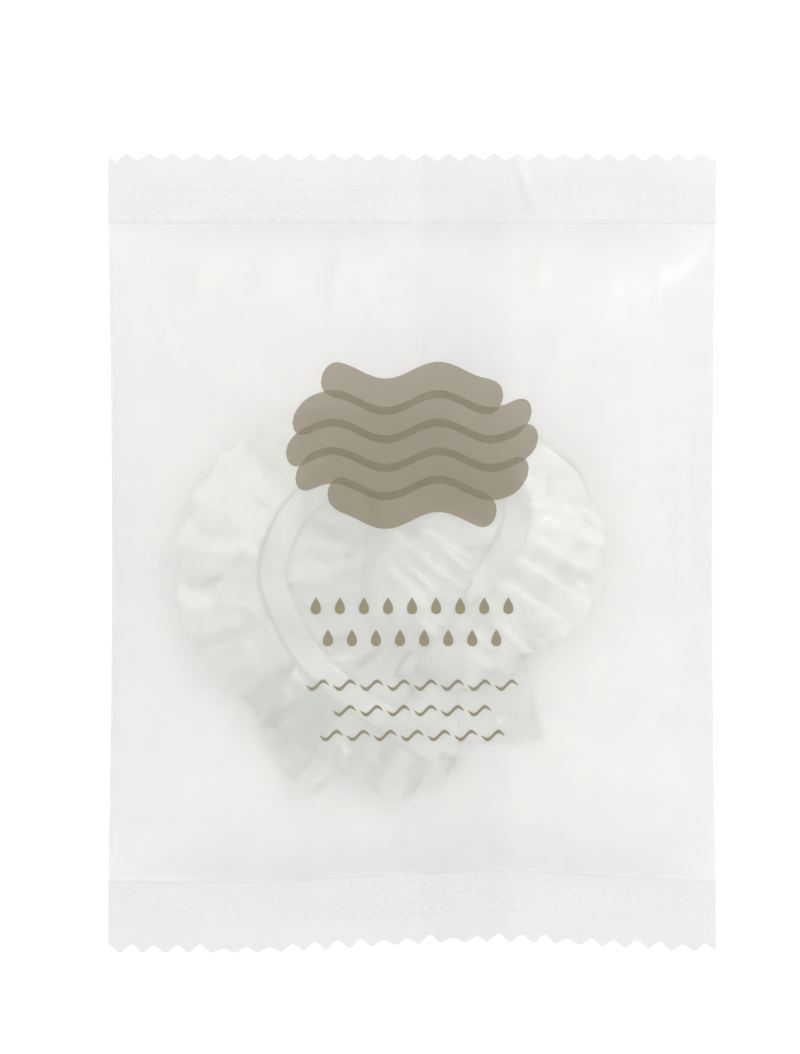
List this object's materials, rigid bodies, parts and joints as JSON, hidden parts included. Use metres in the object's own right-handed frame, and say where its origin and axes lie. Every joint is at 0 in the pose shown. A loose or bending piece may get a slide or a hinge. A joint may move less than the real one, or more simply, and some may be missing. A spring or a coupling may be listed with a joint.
{
  "type": "shower cap",
  "caption": "Disposable shower cap, gathered on an elastic and folded flat, sealed in a frosted film pillow sachet with crimped saw-tooth ends.",
  "frame": {"origin": "on the table under the middle of the sachet, which lies on its back", "axes": "+X to the sachet's right, +Y towards the top seal, +Z out of the front"},
  "size_m": [0.084, 0.1106, 0.0094],
  "materials": {
    "sachet_film": "frosted, milky, see-through film with a soft sheen",
    "cap_film": "thin milky film with a faint green tint, glossy on its creases",
    "casing_film": "two plies of the cap's film, finely puckered",
    "elastic_tape": "matte white covered elastic",
    "print_ink": "flat taupe ink, part see-through"
  },
  "bodies": {
    "sachet": {"front_panel": "sachet_film", "back_panel_left": "sachet_film", "back_panel_right": "sachet_film"},
    "fin_flap": {"fin_inner_ply": "sachet_film", "fin_outer_ply": "sachet_film"},
    "top_seal": {"top_seal": "sachet_film"},
    "bottom_seal": {"bottom_seal": "sachet_film"},
    "cap": {"elastic_casing": "casing_film", "elastic_band": "elastic_tape", "frill_left": "cap_film", "frill_left_under": "cap_film", "frill_right": "cap_film", "frill_right_under": "cap_film", "crown_left": "cap_film", "crown_left_under": "cap_film", "crown_right": "cap_film", "crown_right_under": "cap_film", "crown_tail": "cap_film"}
  },
  "joints": [
    {"name": "top_seal_bend", "type": "hinge", "parent": "sachet", "child": "top_seal", "pos_m": [0, 0.04565, 0.0034], "axis": [1, 0, 0], "range_deg": [-75, 75], "stiffness_Nm_per_rad": 0.001},
    {"name": "bottom_seal_bend", "type": "hinge", "parent": "sachet", "child": "bottom_seal", "pos_m": [0, -0.04565, 0.0034], "axis": [-1, 0, 0], "range_deg": [-75, 75], "stiffness_Nm_per_rad": 0.001},
    {"name": "fin_lift", "type": "hinge", "parent": "sachet", "child": "fin_flap", "pos_m": [0.0014, 0, 0.0006], "axis": [0, 1, 0], "range_deg": [0, 40], "stiffness_Nm_per_rad": 0.001},
    {"name": "cap_shift", "type": "slide", "parent": "sachet", "child": "cap", "axis": [0, 1, 0], "range_m": [-0.006, 0.015]}
  ]
}
